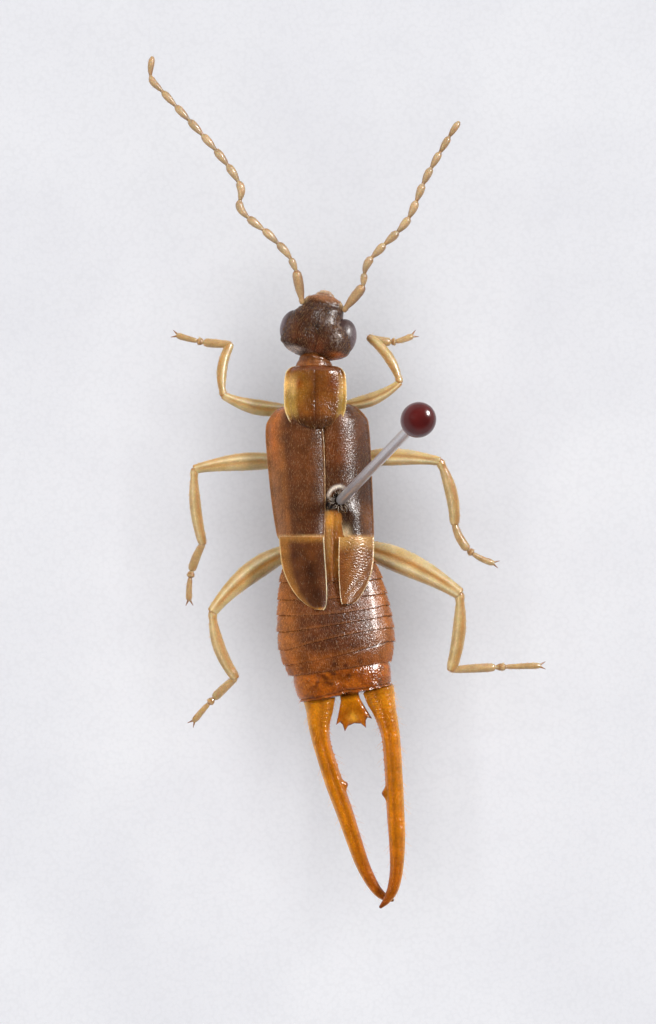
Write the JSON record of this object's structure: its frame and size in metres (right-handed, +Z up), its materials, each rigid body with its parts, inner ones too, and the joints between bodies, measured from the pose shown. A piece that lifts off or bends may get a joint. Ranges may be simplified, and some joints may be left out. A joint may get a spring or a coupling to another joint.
{
  "type": "pinned earwig specimen",
  "caption": "Male earwig with long crossed pincers and bead-like feelers, pinned through its right wing case over a pale foam board.",
  "frame": {"origin": "middle of the foam board's underside, on the surface that it rests on", "axes": "+Z up, along the insect's back; +Y from the pincers to the head; +X to the insect's right"},
  "size_m": [0.03, 0.046, 0.0271],
  "materials": {
    "head_cuticle": "dark brown, satin, with fine pale down",
    "eye_lens": "dark purplish brown facets",
    "mouth_cuticle": "pale translucent brown",
    "feeler_cuticle": "straw brown, finely downy",
    "thorax_cuticle": "amber brown, satin",
    "wing_case_cuticle": "dark reddish brown, leathery",
    "wing_membrane": "orange brown, silky, finely rippled",
    "abdomen_cuticle": "dark centre and orange-brown speckled sides, glossy",
    "pincer_cuticle": "glossy amber, red-brown at the tips",
    "leg_cuticle": "translucent straw with amber stripes",
    "pin_steel": "drawn steel",
    "pin_bead": "dark maroon plastic",
    "foam_board": "pale grey foam, matt"
  },
  "bodies": {
    "root": {"abdomen": "abdomen_cuticle", "abdomen_last_ring": "abdomen_cuticle", "end_plate": "pincer_cuticle", "eye_left": "eye_lens", "eye_right": "eye_lens", "feeler_left_beads_1": "feeler_cuticle", "feeler_left_beads_2": "feeler_cuticle", "feeler_left_scape": "feeler_cuticle", "feeler_right_beads_1": "feeler_cuticle", "feeler_right_beads_2": "feeler_cuticle", "feeler_right_scape": "feeler_cuticle", "head": "head_cuticle", "jaw_left": "mouth_cuticle", "jaw_right": "mouth_cuticle", "labrum": "mouth_cuticle", "leg_front_left_foot": "leg_cuticle", "leg_front_left_hip": "leg_cuticle", "leg_front_left_shin": "leg_cuticle", "leg_front_left_thigh": "leg_cuticle", "leg_front_right_foot": "leg_cuticle", "leg_front_right_hip": "leg_cuticle", "leg_front_right_shin": "leg_cuticle", "leg_front_right_thigh": "leg_cuticle", "leg_hind_left_foot": "leg_cuticle", "leg_hind_left_hip": "leg_cuticle", "leg_hind_left_shin": "leg_cuticle", "leg_hind_left_thigh": "leg_cuticle", "leg_hind_right_foot": "leg_cuticle", "leg_hind_right_hip": "leg_cuticle", "leg_hind_right_shin": "leg_cuticle", "leg_hind_right_thigh": "leg_cuticle", "leg_middle_left_foot": "leg_cuticle", "leg_middle_left_hip": "leg_cuticle", "leg_middle_left_shin": "leg_cuticle", "leg_middle_left_thigh": "leg_cuticle", "leg_middle_right_foot": "leg_cuticle", "leg_middle_right_hip": "leg_cuticle", "leg_middle_right_shin": "leg_cuticle", "leg_middle_right_thigh": "leg_cuticle", "neck": "head_cuticle", "palp_left": "mouth_cuticle", "palp_right": "mouth_cuticle", "pincer_left": "pincer_cuticle", "pincer_right": "pincer_cuticle", "pronotum": "thorax_cuticle", "prothorax": "thorax_cuticle", "stand_board": "foam_board", "stand_pin": "pin_steel", "stand_pin_head": "pin_bead", "thorax": "thorax_cuticle", "wing_case_left": "wing_case_cuticle", "wing_case_right": "wing_case_cuticle", "wing_tip_left": "wing_membrane", "wing_tip_right": "wing_membrane"}
  },
  "joints": []
}
